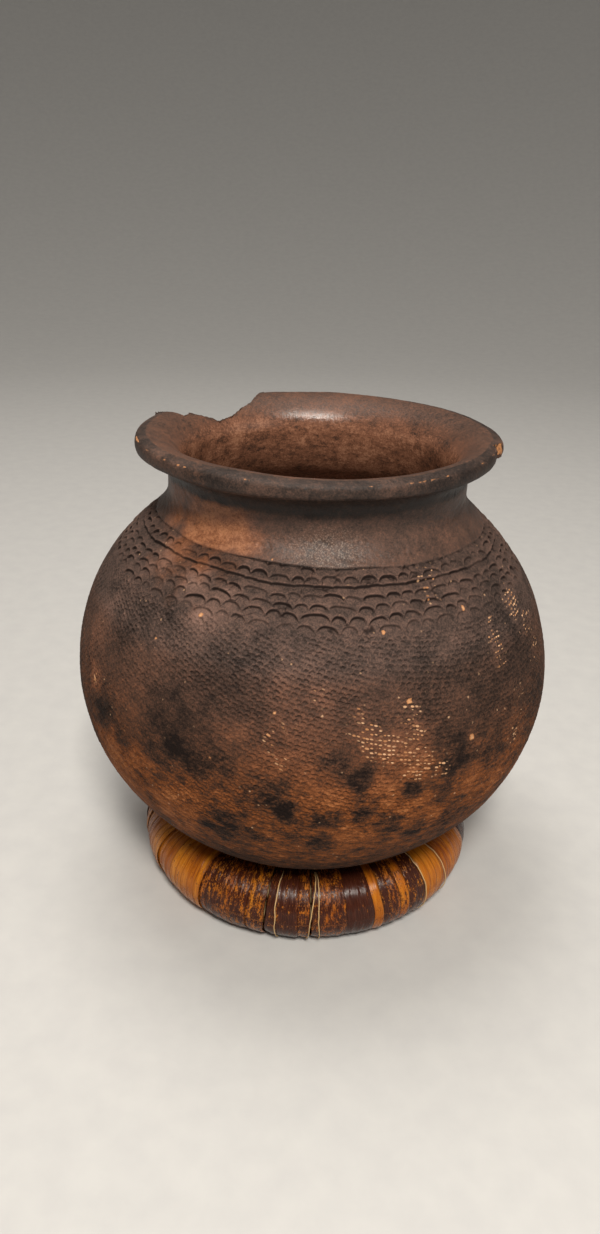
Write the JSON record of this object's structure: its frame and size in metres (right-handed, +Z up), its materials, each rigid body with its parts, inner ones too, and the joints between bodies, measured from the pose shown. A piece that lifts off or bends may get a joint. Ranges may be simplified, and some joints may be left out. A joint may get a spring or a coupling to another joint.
{
  "type": "clay pot on a ring stand",
  "caption": "Round-bottomed, cord-marked clay pot with a flared, chipped lip, standing in a soft ring stand wrapped with strips of dry bark.",
  "frame": {"origin": "centre of the plane that the ring stand rests on, on the pot's axis", "axes": "+Z up along the pot's axis; -Y is the front; +X is on the right of somebody who looks at the front"},
  "size_m": [0.28, 0.28, 0.2815],
  "materials": {
    "smoked_clay": "matte, smoke-clouded, burnished on the neck",
    "gold_bark": "satin dry bark",
    "dark_bark": "satin dry bark, mottled",
    "pale_bast": "matte fibre",
    "dry_leaf": "matte fibre"
  },
  "bodies": {
    "ring_stand": {"wrap_strip_01": "gold_bark", "wrap_strip_02": "dark_bark", "wrap_strip_03": "dark_bark", "wrap_strip_04": "dark_bark", "wrap_strip_05": "dark_bark", "wrap_strip_06": "dark_bark", "wrap_strip_07": "dark_bark", "wrap_strip_08": "gold_bark", "wrap_strip_09": "dark_bark", "wrap_strip_10": "dark_bark", "wrap_strip_11": "dark_bark", "wrap_strip_12": "gold_bark", "wrap_strip_13": "gold_bark", "wrap_strip_14": "dark_bark", "wrap_strip_15": "gold_bark", "wrap_strip_16": "dark_bark", "wrap_strip_17": "dark_bark", "wrap_strip_18": "gold_bark", "wrap_strip_19": "dark_bark", "wrap_strip_20": "dark_bark", "wrap_strip_21": "dark_bark", "wrap_strip_22": "gold_bark", "wrap_strip_23": "dark_bark", "wrap_strip_24": "gold_bark", "wrap_strip_25": "dark_bark", "wrap_strip_26": "dark_bark", "wrap_strip_27": "gold_bark", "wrap_strip_28": "dark_bark", "wrap_strip_29": "dark_bark", "wrap_strip_30": "gold_bark", "bast_fibre_1": "pale_bast", "bast_fibre_2": "pale_bast", "bast_fibre_3": "pale_bast", "bast_fibre_4": "pale_bast", "bast_fibre_5": "pale_bast", "core_strand_1": "dry_leaf", "core_strand_2": "dry_leaf", "core_strand_3": "dry_leaf", "core_strand_4": "dry_leaf", "core_strand_5": "dry_leaf", "core_strand_6": "dry_leaf", "core_strand_7": "dry_leaf", "core_tie_1": "pale_bast", "core_tie_2": "pale_bast", "core_tie_3": "pale_bast", "core_tie_4": "pale_bast", "core_tie_5": "pale_bast", "core_tie_6": "pale_bast"},
    "pot": {"pot": "smoked_clay"}
  },
  "joints": [
    {"name": "pot_lift", "type": "slide", "parent": "ring_stand", "child": "pot", "axis": [0, 0, 1], "range_m": [0, 0.3]}
  ]
}
